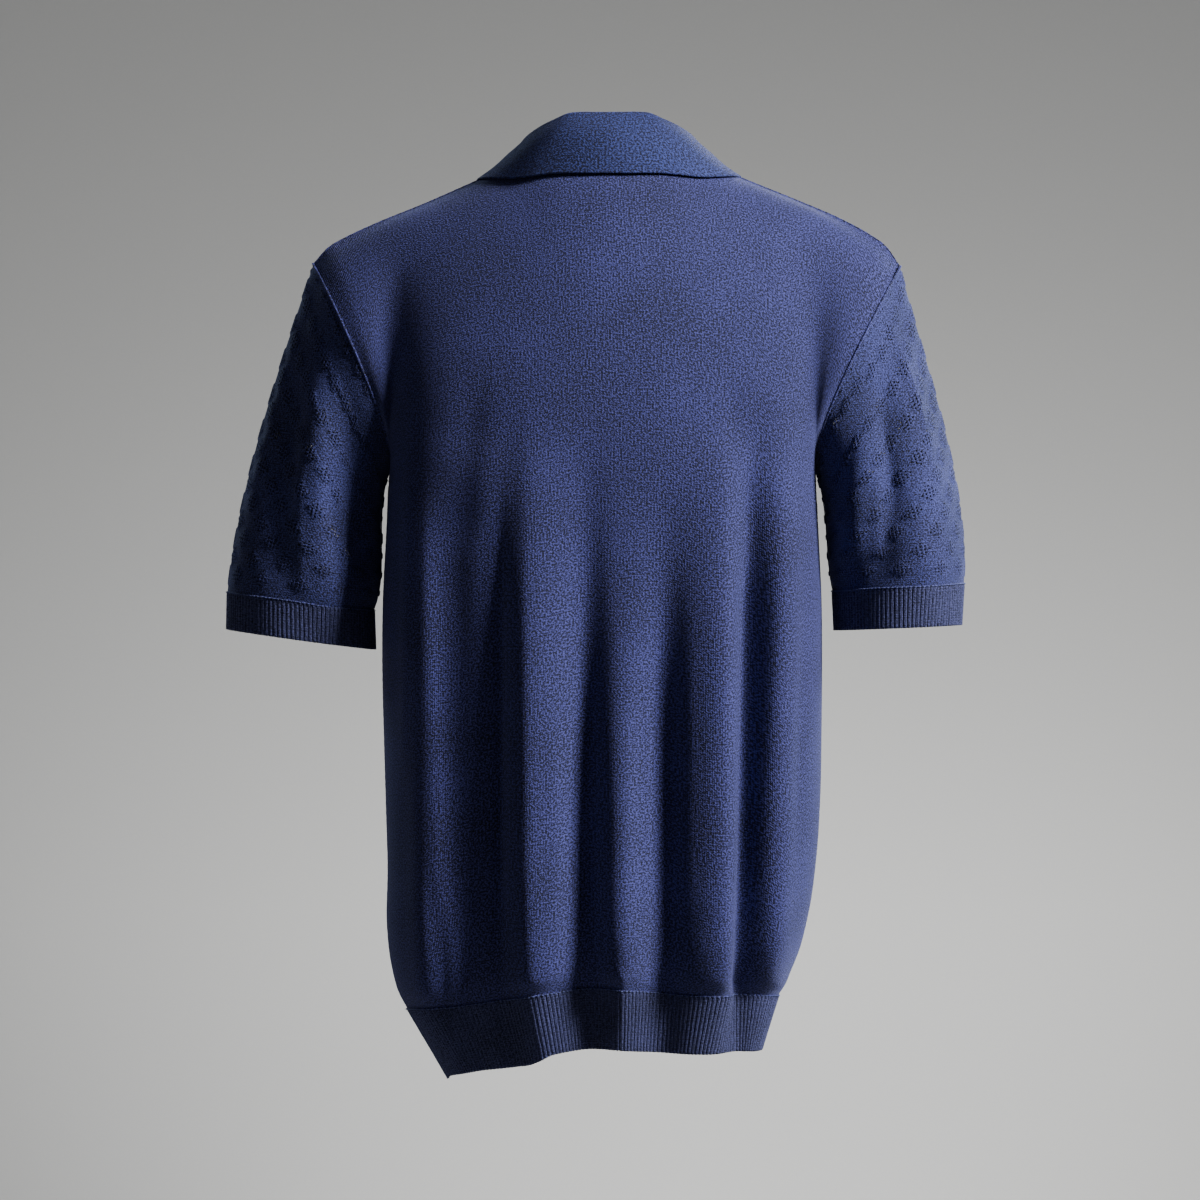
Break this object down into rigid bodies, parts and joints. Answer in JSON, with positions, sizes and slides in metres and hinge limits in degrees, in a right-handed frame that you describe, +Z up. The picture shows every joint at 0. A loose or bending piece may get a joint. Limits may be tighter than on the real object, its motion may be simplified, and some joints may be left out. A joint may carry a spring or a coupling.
{
  "type": "polo shirt",
  "caption": "Short-sleeved knitted polo shirt: hollow worn form with hanging folds, fold-over collar, buttoned half placket, ribbed cuffs and ribbed hem band.",
  "frame": {"origin": "middle of the neck base, inside the collar, where the shirt hangs from its wearer", "axes": "+Z up; the wearer faces -Y, so the back panel is on the +Y side; +X is the wearer's left"},
  "size_m": [0.5996, 0.2604, 0.7779],
  "materials": {
    "plain_knit": "fine-gauge plain knit, navy, matt with a faint sheen",
    "openwork_knit": "fine-gauge openwork knit with clusters of small eyelets, navy",
    "rib_knit": "ribbed knit, navy",
    "collar_knit": "firm flat knit, navy",
    "button_resin": "dark navy, semi-gloss"
  },
  "bodies": {
    "root": {"back": "plain_knit", "front": "openwork_knit", "sleeve_left": "openwork_knit", "sleeve_right": "openwork_knit", "cuff_left": "rib_knit", "cuff_right": "rib_knit", "hem_rib_back": "rib_knit", "hem_rib_front": "rib_knit", "collar": "collar_knit", "placket_top": "openwork_knit", "placket_under": "openwork_knit", "button_1": "button_resin", "button_2": "button_resin", "button_3": "button_resin"}
  },
  "joints": []
}
